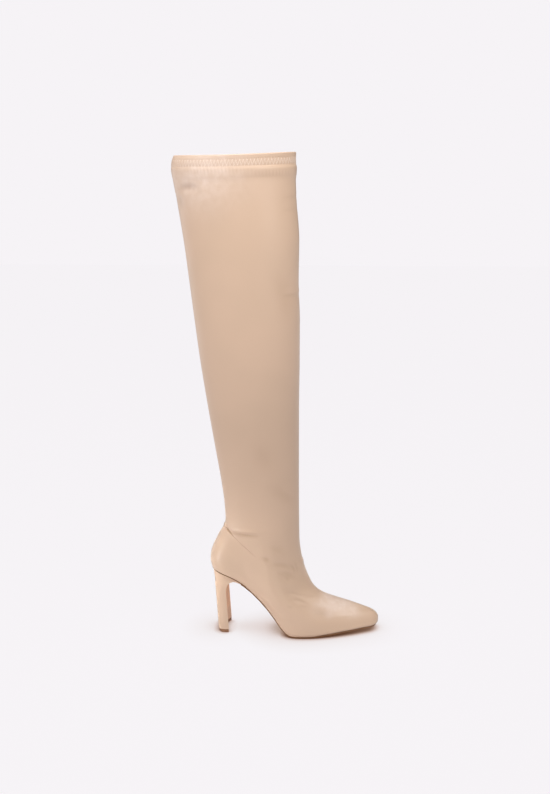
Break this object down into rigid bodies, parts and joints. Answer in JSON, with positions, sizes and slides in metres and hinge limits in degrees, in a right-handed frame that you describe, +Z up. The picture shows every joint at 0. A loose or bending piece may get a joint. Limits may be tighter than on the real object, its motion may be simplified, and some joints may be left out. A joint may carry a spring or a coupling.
{
  "type": "thigh high boot",
  "caption": "Right thigh high pull-on boot with a folded hem, squared narrow toe, thin sole and slim covered block heel.",
  "frame": {"origin": "middle of the heel tip's contact face, on the floor", "axes": "+X from heel to toe, +Y to the wearer's left, which is the inner side of this right boot, +Z up the leg"},
  "size_m": [0.2783, 0.0934, 0.649],
  "materials": {
    "upper": "soft matte stretch faux leather, pale beige",
    "outsole": "moulded, satin brown",
    "heel_cover": "faux leather wrapped round the heel",
    "heel_tip": "dense brown top piece",
    "insole": "pale sock lining"
  },
  "bodies": {
    "root": {"upper": "upper", "outsole": "outsole", "heel": "heel_cover", "heel_tip": "heel_tip", "insole": "insole"}
  },
  "joints": []
}
